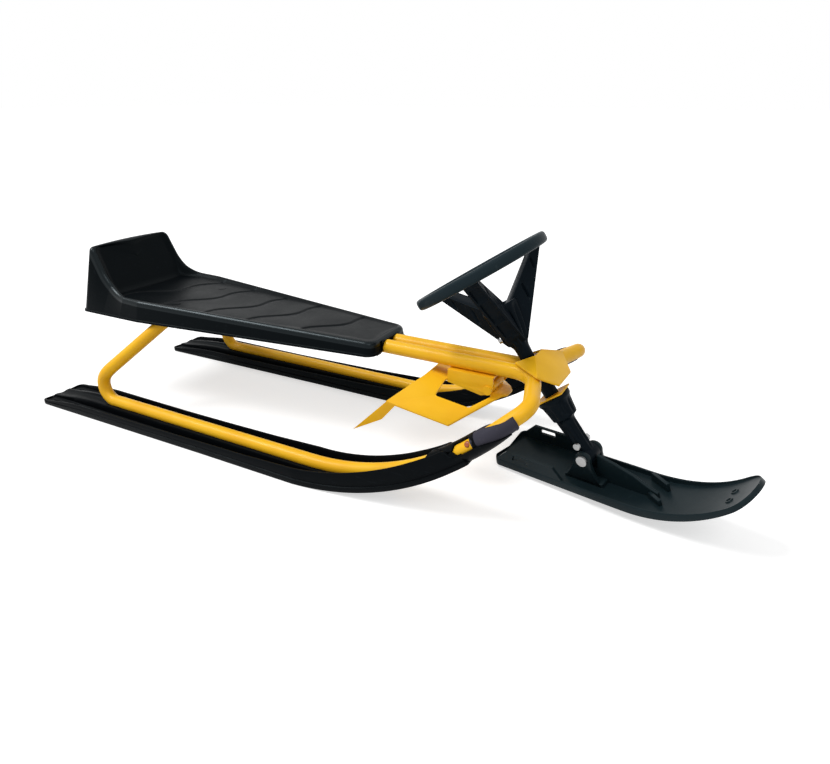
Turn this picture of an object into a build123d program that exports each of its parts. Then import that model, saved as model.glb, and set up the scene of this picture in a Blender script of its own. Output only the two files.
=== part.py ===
"""Snow sled: a bent steel tube frame on two plastic runners, with a moulded seat, a foot brake,
and a steering wheel on a raked column that turns a sprung-up front ski.

Units are millimetres. X points forward to the front ski, Y to the rider's left, Z up.
The origin is on the floor, in the middle of the sled's length and width.
"""
import os
from math import acos, atan2, cos, degrees, hypot, radians, sin, tan

from build123d import *

# Frame tubes: on each side a spine tube, then a side tube that starts inside the sleeve at the nose
tube_d = 22.0
tube_wall = 1.6
spine_y = 15.0
spine_z = 172.0
spine_rear_x = -384.0
bend_x = 291.0
bend_r = 45.0
shoulder_x = 322.0
shoulder_y = 120.0
shoulder_r = 28.0
toe_x = 282.0
toe_z = 139.5
toe_r = 40.0
track_y = 160.0
toe_in = 3.0
bed_z = 24.0
rise_r = 400.0
rise_run = 22.0
heel_x = -495.0
heel_r = 28.0
heel_turn = 128.5
knee_run = 11.0
knee_in = 2.0
knee_r = 38.0
hip_x = -363.0
hip_y = 77.0
hip_r = 36.0
weld_gap = 0.3
joint_back = 17.5

# Runner: a shallow plastic channel under each side tube
runner_tail_x = -596.7
runner_nose_x = 258.0
runner_half = 39.0
runner_tail_half = 43.0
runner_waist_x = -200.0
runner_nose_half = 16.0
runner_taper_x = -10.0
runner_height = 20.0
runner_floor = 5.0
runner_rim = 6.0
runner_bed_half = 17.0
runner_fit = 0.3
runner_nose_in = 9.0
runner_nose_lift = 6.0
runner_run = 60.0

# Sleeve that closes the runner's nose round the tube
sleeve_wall = 3.5
sleeve_back = 30.0
sleeve_tip = 40.0

# Seat: a hollow moulding, open below
seat_rear_x = -557.0
seat_hip_x = -410.0
seat_nose_x = 47.0
seat_rear_half = 112.0
seat_hip_half = 111.0
seat_nose_half = 57.0
seat_base_z = 165.0
seat_nose_z = 187.0
seat_heel_x = -489.0
seat_heel_z = 204.5
seat_back_x = -529.0
seat_back_z = 284.0
seat_back_lean = 9.0
seat_dish_r = 75.0
seat_draft = 10.0
seat_skin = 3.0
seat_corner_r = 16.0
seat_top_r = 4.0
seat_inner_r = 1.0
seat_open = 18.0
mouth_gap = 1.5
mouth_len = 30.0
boss_d = 16.0
boss_y = 58.0

# Steel cross plates that carry the seat
cross_t = 2.5
cross_width = 36.0
rear_cross_half = 78.0
front_cross_half = 36.0
front_cross_x = -70.0

# Steering axis: raked back from the vertical, through the middle of the head's lower plate
rake = 38.0
head_x = 316.0
head_z = 139.0
turn = -17.0
head_len = 60.0
head_t = 2.5
lower_plate_len = 46.0
lower_plate_half = 20.0

# Head sleeve, welded between the spine tubes, and the steel column that turns in it
sleeve_d = 21.4
column_d = 15.0
column_fit = 0.05
thrust_gap = 0.4

# Hood: a sloping sheet over the tubes' outward bends, in front of the column, with a cheek each side
hood_top_x = 290.0
hood_top_z = 198.5
hood_top_half = 14.0
hood_wing_x = 308.0
hood_wing_half = 58.0
hood_front_x = 331.5
hood_front_half = 28.0
hood_slope = 37.0
cheek_back_x = 262.0
cheek_back_y = 17.0

# Brake hanger under the spine tubes
hanger_rear_x = 163.0
hanger_front_x = 218.0
hanger_half = 30.0
hanger_t = 2.5
hanger_rear_drop = 20.0
hanger_front_drop = 31.0
hanger_lip = 9.0
lug_r = 7.5

# Brake plate: a flat middle and two wings that droop from it, each with a claw
brake_x = 228.0
brake_z = 140.5
pin_d = 8.0
pin_fit = 0.08
pin_head = 3.0
knuckle_wall = 3.0
knuckle_half = 19.0
brake_t = 2.5
knuckle_sink = 0.5
plate_half = 20.0
plate_front_x = 252.0
plate_rear_x = 129.0
wing_half = 100.0
wing_rear_x = 97.0
wing_front_x = 199.0
wing_fold_x = 246.0
wing_droop = 20.4
wing_dip = 7.75
claw_heel = 8.0
claw_drop = 31.0
claw_tip_x = 37.0
claw_tip_z = 60.0
claw_top = 16.0
window_in = 23.0
window_out = 60.0
window_rear_x = 157.0
window_front_x = 236.0
window_low_x = 212.0
window_r = 5.0

# Steering wheel
wheel_d = 204.0
wheel_bar = 16.0
wheel_flat = 5.0
hub_z = 84.0
wheel_z = 206.0
spokes = 3
spoke_root = 42.0
spoke_end = 22.0
spoke_t = 11.0
spoke_low = 30.0
funnel_top_d = 48.0
funnel_z = 146.0
boss_top_d = 34.0
boss_d_low = 21.0
boss_z = 114.0
column_end = 3.0

# Lower cone, stem and eye
cone_top_d = 50.0
cone_step = 8.0
cone_step_in = 2.0
cone_len = 34.0
cone_low_d = 38.0
cone_foot = 4.0
web_t = 9.0
web_low = -74.0
stem_d = 23.0
eye_r = 12.0
stem_bolt_s = -79.0
stem_bolt_d = 6.0
stem_head_d = 10.2
stem_head_t = 4.0
stem_nut_d = 10.8
stem_nut_t = 5.0

# Front ski
pivot_s = -99.0
pivot_h = 43.0
ski_half = 43.0
ski_tail = 141.0
ski_tail_r = 9.0
ski_tip_r = 34.0
ski_tip_half = 34.5
ski_taper_r = 200.0
ski_flat = 73.0
ski_t = 5.0
ski_rim_h = 13.0
ski_rim_tip_h = 7.0
ski_rim = 5.0
ski_curl_r = 194.0
ski_curl_deg = 53.3
ski_lift = 4.1
ear_gap = 26.0
ear_t = 6.0
ear_foot = 58.0
ear_foot_t = 5.0
bolt_d = 8.0
cap_d = 16.0
cap_t = 4.0
keel_end_x = 104.0
keel_w = 9.0
keel_h = 7.0
cross_rib_x = 96.0
cross_rib_half = 22.0
cross_rib_turn = 25.0
rope_hole_d = 6.0
rope_hole_y = 10.0
rope_hole_back = 13.0

# The ski's side walls beside its tail, measured back from the pivot and up from the sole
wall_tail = 135.0
wall_back = 117.0
wall_front = 36.0
wall_end = 22.0
wall_high = 30.0
wall_low = 13.0

floor_z = 0.0

# A cutting shape reaches past what it cuts by this factor
reach_past = 1.2

tube_r = tube_d / 2
knuckle_r = pin_d / 2 + pin_fit + knuckle_wall
plate_z = brake_z - knuckle_r + knuckle_sink
sides = {"left": 1, "right": -1}

# The rest is worked out from the values above
axis_up = Vector(-sin(radians(rake)), 0, cos(radians(rake)))
axis_fore = Vector(cos(radians(rake)), 0, sin(radians(rake)))
head_point = Vector(head_x, 0, head_z)


def save(shape, name):
    """Write one node."""
    os.makedirs("parts", exist_ok=True)
    shape.label = name
    export_step(shape, "parts/" + name + ".step")


def on_axis(distance, angle=0.0):
    """A place on the steering axis, a distance up from the head's lower plate and turned about it."""
    plane = Plane(origin=head_point + axis_up * distance, x_dir=axis_fore, z_dir=axis_up)
    return Location(plane) * Rot(0, 0, angle)


def rise_angle():
    """The angle at which the arc leaves the bed, so that the straight run after it ends at the toe."""
    across = hypot(rise_r, rise_run)
    return acos((rise_r - (toe_z - bed_z)) / across) - atan2(rise_run, rise_r)


def rise_corner_x():
    """Where the bed's line and the straight run's line would meet."""
    return toe_x - (rise_r * tan(rise_angle() / 2) + rise_run) * cos(rise_angle())


def frame_points(side):
    """Corners of one side's two tubes, from the rear end under the seat right round to the other end."""
    lean = radians(180 - heel_turn)
    knee = heel_r * tan(radians(heel_turn) / 2) + knee_run
    return [
        (spine_rear_x, side * spine_y, spine_z),
        (bend_x, side * spine_y, spine_z),
        (shoulder_x, side * shoulder_y, spine_z),
        (toe_x, side * (track_y - toe_in), toe_z),
        (rise_corner_x(), side * track_y, bed_z),
        (heel_x, side * track_y, bed_z),
        (heel_x + knee * cos(lean), side * (track_y - knee_in), bed_z + knee * sin(lean)),
        (hip_x, side * hip_y, spine_z),
        (hip_x, side * (spine_y + tube_r + weld_gap), spine_z),
    ]


def tube_joint(side):
    """Where the side tube starts, on the straight run between the toe and the front curve."""
    toe, rise = (Vector(*point) for point in frame_points(side)[3:5])
    return toe + (rise - toe).normalized() * joint_back


def spine_path(side):
    """The spine tube's centre line."""
    return FilletPolyline(*frame_points(side)[:4], tube_joint(side), radius=[bend_r, shoulder_r, toe_r])


def side_path(side):
    """The side tube's centre line."""
    radii = [rise_r, heel_r, knee_r, hip_r]
    return FilletPolyline(tube_joint(side), *frame_points(side)[4:], radius=radii)


def tube_along(path, outer, inner=0):
    """A round tube, or a bar if it has no inner radius, along a path."""
    start = Plane(origin=path @ 0, z_dir=path % 0)
    ring = Circle(outer) - Circle(inner) if inner else Circle(outer)
    return sweep(start * ring, path=path)


def frame_tube(path):
    return tube_along(path, tube_r, tube_r - tube_wall)


def runner_band(low, high):
    """Side view of a layer of the runner between two heights, carried up its front curve.

    The under side draws nearer to the tube towards the nose."""
    angle = rise_angle()
    start_x = rise_corner_x() - rise_r * tan(angle / 2)
    centre_z = bed_z + rise_r

    def edge(height, lift):
        r = centre_z - height - lift
        half_r = centre_z - height - lift / 4
        end = (start_x + r * sin(angle), centre_z - r * cos(angle))
        mid = (start_x + half_r * sin(angle / 2), centre_z - half_r * cos(angle / 2))
        tip = (end[0] + runner_run * cos(angle), end[1] + runner_run * sin(angle))
        return (start_x, height), mid, end, tip

    a0, am, a1, a2 = edge(low, runner_nose_lift)
    b0, bm, b1, b2 = edge(high, 0)
    tail = runner_tail_x
    outline = (
        Line((tail, low), a0) + ThreePointArc(a0, am, a1) + Line(a1, a2)
        + Line(a2, b2) + Line(b2, b1) + ThreePointArc(b1, bm, b0) + Line(b0, (tail, high))
        + Line((tail, high), (tail, low))
    )
    face = make_face(Plane.XZ * outline)
    return extrude(face, amount=2 * track_y, both=True)


def runner_plan(side, inset):
    """Plan of the runner: parallel, then narrowing and toeing in to the nose."""
    nose_y = track_y - runner_nose_in
    stations = [
        (runner_tail_x + inset, track_y, runner_tail_half),
        (runner_waist_x, track_y, runner_half),
        (runner_taper_x, track_y, runner_half),
        (runner_nose_x - inset, nose_y, runner_nose_half),
    ]
    inner = [(x, side * (y - half + inset)) for x, y, half in stations]
    outer = [(x, side * (y + half - inset)) for x, y, half in reversed(stations)]
    points = inner + outer
    return extrude(make_face(Polyline(*points, close=True)), amount=spine_z)


def runner(side):
    """The channel: floor, rims and the bed that the tube lies in."""
    body = runner_band(floor_z, runner_height) & runner_plan(side, 0)
    trough = runner_band(runner_floor, 2 * runner_height) & runner_plan(side, runner_rim)
    bed = runner_band(runner_floor, runner_height)
    length = 2 * (runner_nose_x - runner_tail_x)
    strip = Pos(0, side * track_y, 0) * Box(length, 2 * runner_bed_half, 2 * spine_z)
    bed = bed & strip & runner_plan(side, runner_rim)
    groove = tube_along(side_path(side), tube_r + runner_fit)
    return (body - trough + bed) - groove


def nose_sleeve(side):
    """The grey sleeve round the two tubes' joint, past the runner's nose."""
    points = [Vector(*p) for p in frame_points(side)]
    toe, shoulder, rise = points[3], points[2], points[4]
    start = toe + (rise - toe).normalized() * sleeve_back
    end = toe + (shoulder - toe).normalized() * sleeve_tip
    path = FilletPolyline(start, toe, end, radius=toe_r)
    return tube_along(path, tube_r + sleeve_wall, tube_r + runner_fit)


def drawn_in(ring, amount):
    """The corners of a closed ring, each moved in by the same distance from both of its edges."""
    corners = [Vector(*point) for point in ring]
    moved = []
    for k, here in enumerate(corners):
        a = (here - corners[k - 1]).normalized()
        b = (corners[(k + 1) % len(corners)] - here).normalized()
        inward = Vector(-a.Y, a.X) + Vector(-b.Y, b.X)
        moved.append(here + inward * (amount / (1 + a.dot(b))))
    return moved


def seat_side(skin):
    """Side view of the seat, drawn in by the skin's thickness and then open below."""
    ring = drawn_in([
        (seat_nose_x, seat_base_z), (seat_nose_x, seat_nose_z), (seat_heel_x, seat_heel_z),
        (seat_back_x, seat_back_z), (seat_back_x - seat_back_lean, seat_back_z), (seat_rear_x, seat_base_z),
    ], skin)
    front, rear = ring[0], ring[5]
    line = FilletPolyline(*ring[1:5], radius=[seat_dish_r + skin, max(seat_top_r - skin, seat_inner_r)])
    outline = line + Polyline(ring[4], rear, front, ring[1])
    width = 2 * seat_rear_half
    body = extrude(make_face(Plane.XZ * outline), amount=width, both=True)
    if skin:
        below = Box(front.X - rear.X, 2 * width, seat_open, align=(Align.MIN, Align.CENTER, Align.MAX))
        body += Pos(rear.X, 0, rear.Y) * below
    return body


def seat_plan(skin):
    """Plan of the seat with its draft, so that the sides lean in towards the top."""
    points = [
        (seat_rear_x + skin, skin - seat_rear_half),
        (seat_hip_x, skin - seat_hip_half),
        (seat_nose_x - skin, skin - seat_nose_half),
    ]
    ring = points + [(x, -y) for x, y in reversed(points)]
    corner = max(seat_corner_r - skin, seat_inner_r)
    line = FilletPolyline(*ring, radius=corner, close=True)
    face = Pos(0, 0, seat_base_z) * make_face(line)
    body = extrude(face, amount=reach_past * (seat_back_z - seat_base_z), taper=seat_draft)
    return body + extrude(face, amount=-seat_open) if skin else body


def seat():
    """The moulded seat: a hollow skin with two bosses and a mouth for the spine tubes."""
    outer = seat_side(0) & seat_plan(0)
    inner = seat_side(seat_skin) & seat_plan(seat_skin)
    shell = outer - inner
    mouth_half = spine_y + tube_r + mouth_gap
    mouth = Box(2 * mouth_len, 2 * mouth_half, tube_d, align=(Align.CENTER, Align.CENTER, Align.MAX))
    shell -= Pos(seat_nose_x, 0, spine_z + tube_r + mouth_gap / 2) * mouth
    top = spine_z + tube_r + weld_gap + cross_t + weld_gap
    for y in (-boss_y, boss_y):
        post = Cylinder(boss_d / 2, seat_back_z - top, align=(Align.CENTER, Align.CENTER, Align.MIN))
        shell += (Pos(hip_x, y, top) * post) & outer
    return shell


def cross_plate(x, half):
    """A flat steel plate across the tops of the tubes."""
    z = spine_z + tube_r + weld_gap
    return Pos(x, 0, z) * Box(cross_width, 2 * half, cross_t, align=(Align.CENTER, Align.CENTER, Align.MIN))


def head_sleeve():
    """The sleeve that the column turns in."""
    ring = Circle(sleeve_d / 2) - Circle(column_d / 2 + column_fit)
    return extrude(on_axis(head_t) * ring, amount=head_len)


def head_plate():
    """The lower plate, square to the column, with a leg up to each tube."""
    face = Rectangle(lower_plate_len, 2 * lower_plate_half) - Circle(column_d / 2 + column_fit)
    return extrude(on_axis(0) * face, amount=head_t)


def leaning_sheet(points, height):
    """A flat sheet whose under face has these corners, with upright edges."""
    return extrude(make_face(Polyline(*points, close=True)), amount=height, dir=(0, 0, 1))


def hood_at(x, y):
    """A point of the hood's under face."""
    return Vector(x, y, hood_top_z - (x - hood_top_x) * tan(radians(hood_slope)))


def hood():
    """The sloping sheet that ties the tubes together in front of the column, and its two cheeks."""
    front = [
        hood_at(hood_top_x, -hood_top_half), hood_at(hood_wing_x, -hood_wing_half),
        hood_at(hood_front_x, -hood_front_half), hood_at(hood_front_x, hood_front_half),
        hood_at(hood_wing_x, hood_wing_half), hood_at(hood_top_x, hood_top_half),
    ]
    height = head_t / cos(radians(hood_slope))
    body = leaning_sheet(front, height)
    foot_z = spine_z + tube_r + weld_gap
    for side in (-1, 1):
        top = hood_at(hood_top_x, side * hood_top_half)
        wing = hood_at(hood_wing_x, side * hood_wing_half)
        back = Vector(cheek_back_x, side * cheek_back_y, foot_z)
        body += leaning_sheet([top, wing, back], height)
    return body


def brake_hanger():
    """A channel under the spine tubes whose cheeks carry the brake's pin."""
    top = spine_z - tube_r - weld_gap
    cheek = Polyline(
        (hanger_rear_x, top), (brake_x + lug_r, top), (brake_x + lug_r, brake_z), (brake_x, brake_z - lug_r),
        (hanger_front_x, top - hanger_front_drop), (hanger_rear_x, top - hanger_rear_drop), close=True,
    )
    side = make_face(Plane.XZ * cheek)
    hole = Plane.XZ * (Pos(brake_x, brake_z) * Circle(pin_d / 2 + pin_fit))
    hole = extrude(hole, amount=2 * hanger_half, both=True)
    deck_len = brake_x + lug_r - hanger_rear_x
    body = Pos(hanger_rear_x, 0, top) * Box(
        deck_len, 2 * hanger_half, hanger_t, align=(Align.MIN, Align.CENTER, Align.MAX)
    )
    lip_len = brake_x - pin_d - hanger_front_x + hanger_t
    for y in (-1, 1):
        body += Pos(0, y * (hanger_half - hanger_t / 2), 0) * extrude(side, amount=hanger_t / 2, both=True)
        lip = Pos(hanger_front_x, y * (hanger_half - hanger_lip / 2), top)
        body += lip * Box(
            lip_len, hanger_lip, top - brake_z, align=(Align.MAX, Align.CENTER, Align.MAX)
        )
    return body - hole


def brake_pin():
    """The brake's pivot pin with its two heads."""
    reach = hanger_half + weld_gap
    pin = Plane.XZ * (Pos(brake_x, brake_z) * Circle(pin_d / 2))
    pin = extrude(pin, amount=reach, both=True)
    for y in (-1, 1):
        head = Plane.XZ * (Pos(brake_x, brake_z) * Circle(pin_d / 2 + pin_head))
        pin += Pos(0, y * (reach + pin_head / 2), 0) * extrude(head, amount=pin_head / 2, both=True)
    return pin


def plate_at(x, y):
    """Height of the brake plate's top face: level across the middle, drooping outside it."""
    droop = max(abs(y) - plate_half, 0) * tan(radians(wing_droop))
    return plate_z - (x - brake_x) * tan(radians(wing_dip)) - droop


def brake_sheet():
    """The folded plate before it is cut out: its section from the claws' tips to the front edge."""
    drop = brake_t / cos(radians(wing_droop))
    back = claw_tip_x
    ys = (-wing_half, -plate_half, plate_half, wing_half)
    top = [(y, plate_at(back, y)) for y in ys]
    low = [(y, z - drop) for y, z in reversed(top)]
    section = Pos(back, 0, 0) * make_face(Plane.YZ * Polyline(*top, *low, close=True))
    return extrude(section, amount=reach_past * (plate_front_x - back), dir=(1, 0, -tan(radians(wing_dip))))


def brake_plan():
    """Plan of the brake plate with its two windows."""
    half = [
        (plate_rear_x, plate_half), (wing_rear_x, wing_half), (wing_front_x, wing_half),
        (wing_fold_x, plate_half), (plate_front_x, plate_half / 2),
    ]
    ring = half + [(x, -y) for x, y in reversed(half)]
    face = make_face(Polyline(*ring, close=True))
    for side in (-1, 1):
        window = [
            (window_rear_x, side * window_in), (window_front_x, side * window_in),
            (window_low_x, side * window_out), (window_rear_x, side * window_out),
        ]
        face -= make_face(FilletPolyline(*window, radius=window_r, close=True))
    return extrude(face, amount=2 * spine_z)


def brake():
    """The foot brake: the folded plate, its claws, and the knuckle on the pin."""
    body = brake_sheet() & brake_plan()
    edge = plate_at(wing_rear_x, wing_half) - brake_t / 2
    claw_front = wing_rear_x + claw_top
    claw = Polyline(
        (wing_rear_x, edge), (claw_front, plate_at(claw_front, wing_half) - brake_t / 2),
        (wing_rear_x - claw_heel, edge - claw_drop), (claw_tip_x, claw_tip_z), close=True,
    )
    claw = extrude(make_face(Plane.XZ * claw), amount=brake_t / 2, both=True)
    for side in (-1, 1):
        body += Pos(0, side * (wing_half - brake_t / 2), 0) * claw
    outer = Plane.XZ * (Pos(brake_x, brake_z) * Circle(knuckle_r))
    bore = Plane.XZ * (Pos(brake_x, brake_z) * Circle(pin_d / 2 + pin_fit))
    body += extrude(outer, amount=knuckle_half, both=True)
    return body - extrude(bore, amount=2 * knuckle_half, both=True)


def steering_wheel():
    """Ring, three deep sloping spokes and a funnel-shaped hub, moulded as one."""
    ring_r = (wheel_d - wheel_bar) / 2
    ring_up = wheel_z - hub_z
    ring = Pos(0, 0, ring_up) * Torus(ring_r, wheel_bar / 2)
    funnel = [
        (0, 0), (boss_d_low / 2, 0), (boss_top_d / 2, boss_z - hub_z), (funnel_top_d / 2, funnel_z - hub_z),
        (0, funnel_z - hub_z),
    ]
    body = ring + revolve(make_face(Plane.XZ * Polyline(*funnel, close=True)), axis=Axis.Z)
    inner = boss_d_low / 2
    side = Polyline(
        (inner, spoke_low), (ring_r, ring_up - spoke_t / 2), (ring_r, ring_up + spoke_t / 2),
        (inner, funnel_z - hub_z), close=True,
    )
    plan = Polyline(
        (inner, -spoke_root / 2), (ring_r, -spoke_end / 2), (ring_r, spoke_end / 2), (inner, spoke_root / 2),
        close=True,
    )
    web = extrude(make_face(Plane.XZ * side), amount=spoke_root, both=True)
    web = web & extrude(make_face(plan), amount=2 * ring_up)
    for k in range(spokes):
        body += Rot(0, 0, (k + 0.5) * 360 / spokes) * web
    placed = on_axis(0, turn) * on_axis(0).inverse() * on_axis(hub_z) * Rot(0, wheel_flat, 0) * body
    return placed - column()


def column():
    """The steel column, from the wheel's hub down into the cone."""
    low = -cone_len - cone_step
    high = boss_z - column_end
    return extrude(on_axis(low, turn) * Circle(column_d / 2), amount=high - low)


def across(radius, half):
    """A short bar across the sled in the ski's own frame, on the pivot's line."""
    return Rot(90, 0, 0) * Cylinder(radius, 2 * half)


def lower_fork():
    """The plastic cone under the head and its stem, which ends in an eye between the ski's ears."""
    pivot = pivot_s + thrust_gap
    profile = [
        (0, 0), (cone_top_d / 2, 0), (cone_top_d / 2 - cone_step_in, -cone_step), (cone_low_d / 2, -cone_len),
        (stem_d / 2, -cone_len - cone_foot), (stem_d / 2, pivot), (0, pivot),
    ]
    body = revolve(make_face(Plane.XZ * Polyline(*profile, close=True)), axis=Axis.Z)
    web_edge = -cone_low_d / 2
    web = Polyline(
        (0, -cone_len), (web_edge, -cone_len), (web_edge + cone_foot, web_low), (0, web_low), close=True
    )
    body += extrude(make_face(Plane.XZ * web), amount=web_t / 2, both=True)
    body += Pos(0, 0, pivot) * across(eye_r, ear_gap / 2 - weld_gap)
    socket_len = cone_len + cone_step - thrust_gap
    socket = Cylinder(column_d / 2, socket_len, align=(Align.CENTER, Align.CENTER, Align.MAX))
    pin_hole = Pos(0, 0, pivot) * across(bolt_d / 2, ear_gap)
    bolt_hole = Pos(0, 0, stem_bolt_s + thrust_gap) * across(stem_bolt_d / 2, stem_d)
    return on_axis(-thrust_gap, turn) * (body - socket - pin_hole - bolt_hole)


def ski_place():
    """Where the ski's own frame sits: at its bolt, turned with the column, level fore and aft."""
    return on_axis(pivot_s, turn) * Rot(0, rake, 0) * Rot(0, -ski_lift, 0)


def ski_layer(bottom, top, tip_top):
    """Side view of a layer of the ski above its sole, carried up its curl; the top falls towards the tip."""
    curl = radians(ski_curl_deg)
    centre_z = ski_curl_r - pivot_h

    def edge(height, tip_height):
        ends = []
        for share in (0.5, 1.0):
            r = ski_curl_r - height - (tip_height - height) * share
            ends.append((ski_flat + r * sin(curl * share), centre_z - r * cos(curl * share)))
        return (ski_flat, height - pivot_h), ends[0], ends[1]

    a0, am, a1 = edge(bottom, bottom)
    b0, bm, b1 = edge(top, tip_top)
    tail_low = (-ski_tail, bottom - pivot_h)
    tail_high = (-ski_tail, top - pivot_h)
    outline = (
        Line(tail_low, a0) + ThreePointArc(a0, am, a1) + Line(a1, b1)
        + ThreePointArc(b1, bm, b0) + Line(b0, tail_high) + Line(tail_high, tail_low)
    )
    return extrude(make_face(Plane.XZ * outline), amount=2 * ski_half, both=True)


def ski_plan(inset):
    """Plan of the ski, drawn in by an inset: square at the tail, narrower and rounded at the tip."""
    half = ski_half - inset
    tip_half = ski_tip_half - inset
    tip_x = ski_flat + ski_curl_r * sin(radians(ski_curl_deg)) - inset
    near = [(-ski_tail + inset, -half), (ski_flat, -half), (tip_x, -tip_half)]
    ring = near + [(x, -y) for x, y in reversed(near)]
    tail_r = ski_tail_r - inset
    tip_r = ski_tip_r - inset
    radii = [tail_r, ski_taper_r, tip_r, tip_r, ski_taper_r, tail_r]
    line = FilletPolyline(*ring, radius=radii, close=True)
    return extrude(Pos(0, 0, -2 * pivot_h) * make_face(line), amount=2 * ski_curl_r)


def ski_ear():
    """One upright ear of the ski's mount, seen from the side."""
    foot_z = ski_t - pivot_h
    ear = Polyline((-ear_foot / 2, foot_z), (-eye_r, 0), (eye_r, 0), (ear_foot / 2, foot_z), close=True)
    return extrude(make_face(Plane.XZ * ear), amount=ear_t / 2, both=True) + across(eye_r, ear_t / 2)


def front_ski():
    """The ski blade: flat sole, curled-up nose, rims, tail walls, ribs, and two ears for the bolt."""
    low = -pivot_h
    body = ski_layer(0, ski_rim_h, ski_rim_tip_h) & ski_plan(0)
    body -= ski_layer(ski_t, pivot_h, pivot_h) & ski_plan(ski_rim)
    foot_w = ear_gap + 2 * ear_t
    centred_low = (Align.CENTER, Align.CENTER, Align.MIN)
    body += Pos(0, 0, low + ski_t / 2) * Box(ear_foot, foot_w, ski_t / 2 + ear_foot_t, align=centred_low)
    keel = Box(keel_end_x, keel_w, pivot_h, align=(Align.MIN, Align.CENTER, Align.MIN))
    rib = Box(keel_w, 2 * cross_rib_half, pivot_h, align=centred_low)
    rib = Pos(cross_rib_x, 0, 0) * Rot(0, 0, cross_rib_turn) * rib
    body += (Pos(0, 0, low) * (keel + rib)) & ski_layer(ski_t / 2, ski_t + keel_h, ski_t + keel_h)
    wall = Polyline(
        (-wall_tail, 0), (-wall_tail, wall_low), (-wall_back, wall_high), (-wall_front, wall_high),
        (-wall_end, wall_low), (-wall_end, 0), close=True,
    )
    wall = Pos(0, 0, low) * extrude(make_face(Plane.XZ * wall), amount=ski_half, both=True)
    body += wall & (ski_plan(0) - ski_plan(ski_rim))
    for side in (-1, 1):
        body += Pos(0, side * (ear_gap + ear_t) / 2, 0) * ski_ear()
    body -= across(bolt_d / 2 + pin_fit, ski_half)
    for y in (-rope_hole_y, rope_hole_y):
        a = radians(ski_curl_deg - rope_hole_back)
        spot = Pos(ski_flat + ski_curl_r * sin(a), y, low + ski_curl_r * (1 - cos(a)))
        body -= spot * Rot(0, -degrees(a), 0) * Cylinder(rope_hole_d / 2, pivot_h)
    return ski_place() * body


def pivot_bolt():
    """The pin through the ski's ears and the stem's eye, with its round caps."""
    reach = ear_gap / 2 + ear_t + weld_gap
    pin = across(bolt_d / 2, reach)
    for side in (-1, 1):
        pin += Pos(0, side * (reach + cap_t / 2), 0) * across(cap_d / 2, cap_t / 2)
    return on_axis(pivot_s, turn) * pin


def stem_bolt():
    """The bright bolt through the stem, with its head on one side and its nut on the other."""
    reach = stem_d / 2
    head = Pos(0, -reach - stem_head_t / 2, 0) * across(stem_head_d / 2, stem_head_t / 2)
    nut = extrude(RegularPolygon(stem_nut_d / 2, 6), amount=stem_nut_t / 2, both=True)
    nut = Pos(0, reach + stem_nut_t / 2, 0) * Rot(90, 0, 0) * nut
    return on_axis(stem_bolt_s, turn) * (across(stem_bolt_d / 2, reach) + head + nut)


for name, side in sides.items():
    save(frame_tube(spine_path(side)), "spine_tube_" + name)
    save(frame_tube(side_path(side)), "side_tube_" + name)
    save(runner(side), "runner_" + name)
    save(nose_sleeve(side), "nose_sleeve_" + name)
save(seat(), "seat")
save(cross_plate(hip_x, rear_cross_half), "seat_cross_rear")
save(cross_plate(front_cross_x, front_cross_half), "seat_cross_front")
save(head_sleeve(), "head_sleeve")
save(head_plate(), "head_plate")
save(hood(), "head_hood")
save(brake_hanger(), "brake_hanger")
save(brake_pin(), "brake_pin")
save(brake(), "brake")
save(steering_wheel(), "steering_wheel")
save(column(), "steering_column")
save(lower_fork(), "steering_fork")
save(front_ski(), "front_ski")
save(pivot_bolt(), "ski_bolt")
save(stem_bolt(), "stem_bolt")
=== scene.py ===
"""Snow sled: the finished looks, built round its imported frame. Shapes are worked out in millimetres."""
from math import acos, cos, pi, radians, sin, tan

import bmesh
import bpy
import numpy as np
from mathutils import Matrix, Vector


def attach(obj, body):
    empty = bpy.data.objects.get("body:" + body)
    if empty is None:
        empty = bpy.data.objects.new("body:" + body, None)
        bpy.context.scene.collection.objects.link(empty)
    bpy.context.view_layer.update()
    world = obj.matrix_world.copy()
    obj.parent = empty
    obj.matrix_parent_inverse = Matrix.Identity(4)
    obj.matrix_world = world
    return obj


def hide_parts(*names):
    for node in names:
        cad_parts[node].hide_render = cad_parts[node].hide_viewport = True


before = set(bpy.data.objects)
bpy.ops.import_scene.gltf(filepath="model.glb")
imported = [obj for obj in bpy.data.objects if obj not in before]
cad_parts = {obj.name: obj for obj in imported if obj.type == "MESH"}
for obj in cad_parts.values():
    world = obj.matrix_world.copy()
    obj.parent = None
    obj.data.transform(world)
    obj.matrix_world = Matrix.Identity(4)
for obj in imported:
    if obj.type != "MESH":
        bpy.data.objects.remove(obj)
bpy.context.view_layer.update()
mm = 0.001


# Camera
# It stands off the sled's right front corner, a little above the wheel, and looks down the seat.
# The picture's middle lies a few pixels off the lens's own, which the two shifts make good.
picture_wide = 830
lens_pixels = 655.0
off_right, off_up = 11.0, -6.0
look_from = Vector((543.3, -850.1, 535.0)) * mm
azimuth, elevation = radians(29.0), radians(23.15)

camera = bpy.data.objects.new("camera", bpy.data.cameras.new("camera"))
bpy.context.scene.collection.objects.link(camera)
camera.data.sensor_width = 36.0
camera.data.lens = camera.data.sensor_width * lens_pixels / picture_wide
camera.data.shift_x = off_right / picture_wide
camera.data.shift_y = off_up / picture_wide
camera.data.clip_start = 10 * mm
camera.location = look_from
backwards = Vector((sin(azimuth) * cos(elevation), -cos(azimuth) * cos(elevation), sin(elevation)))
camera.rotation_mode = "QUATERNION"
camera.rotation_quaternion = (-backwards).to_track_quat("-Z", "Y")
bpy.context.scene.camera = camera
bpy.context.scene.view_settings.view_transform = "Standard"


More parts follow.
